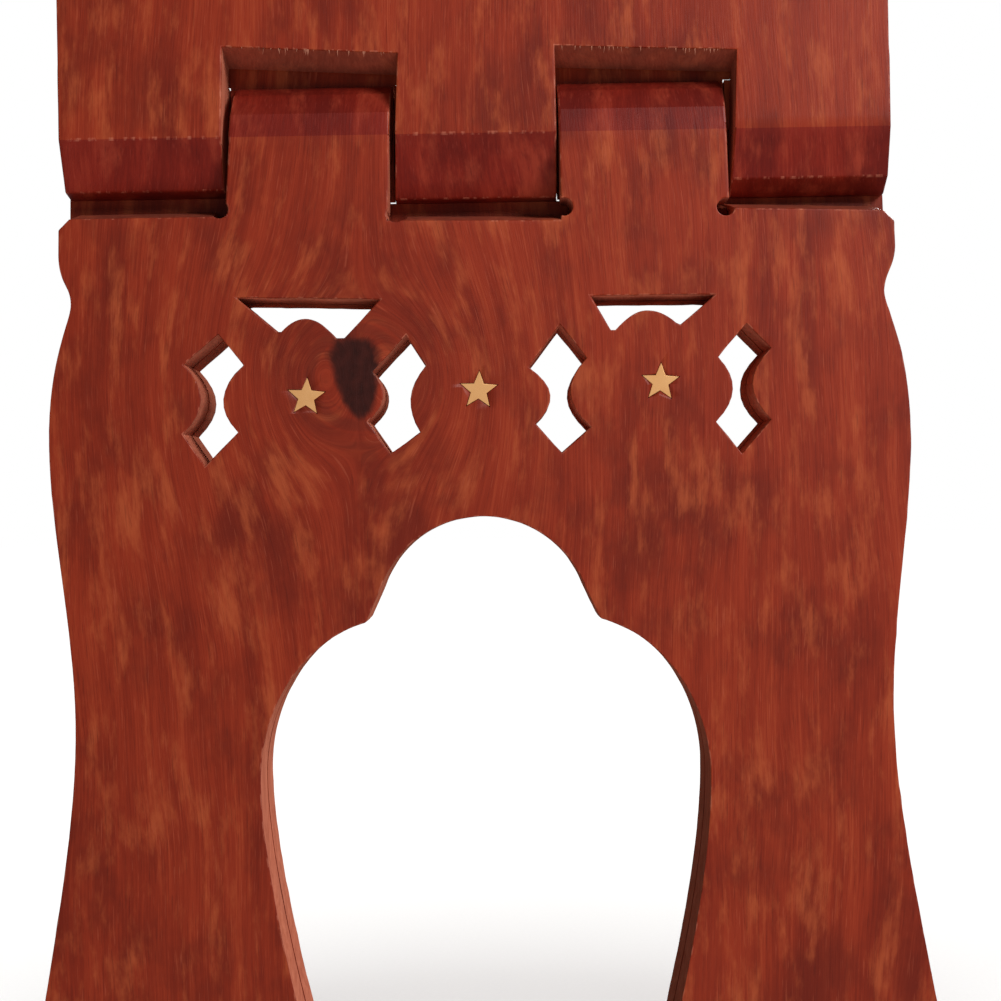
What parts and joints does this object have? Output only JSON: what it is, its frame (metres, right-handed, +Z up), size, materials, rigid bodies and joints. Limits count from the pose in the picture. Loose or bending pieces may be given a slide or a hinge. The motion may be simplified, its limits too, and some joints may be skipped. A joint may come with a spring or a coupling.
{
  "type": "folding book stand",
  "caption": "Folding wooden book stand cut from one board: two interlocked leaves on a pinless knuckle hinge, pierced leg band, arched feet and inlaid brass stars.",
  "frame": {"origin": "centre of the closed stand's footprint, on the surface that its feet stand on", "axes": "+X along the hinge to the right seen from the front, +Y from the front face to the rear face, +Z up from the feet to the crest of the book rest"},
  "size_m": [0.1974, 0.025, 0.39],
  "materials": {
    "rosewood": "hand-planed, red-brown stain, oiled satin",
    "brass_inlay": "filed flush and brushed"
  },
  "bodies": {
    "standing_leaf": {"two_knuckle_leaf": "rosewood", "front_star_left": "brass_inlay", "front_star_centre": "brass_inlay", "front_star_right": "brass_inlay"},
    "swinging_leaf": {"three_knuckle_leaf": "rosewood", "rear_star_left": "brass_inlay", "rear_star_centre": "brass_inlay", "rear_star_right": "brass_inlay"}
  },
  "joints": [
    {"name": "leaf_hinge", "type": "hinge", "parent": "standing_leaf", "child": "swinging_leaf", "pos_m": [0, 0, 0.2], "axis": [1, 0, 0], "range_deg": [0, 100]}
  ]
}
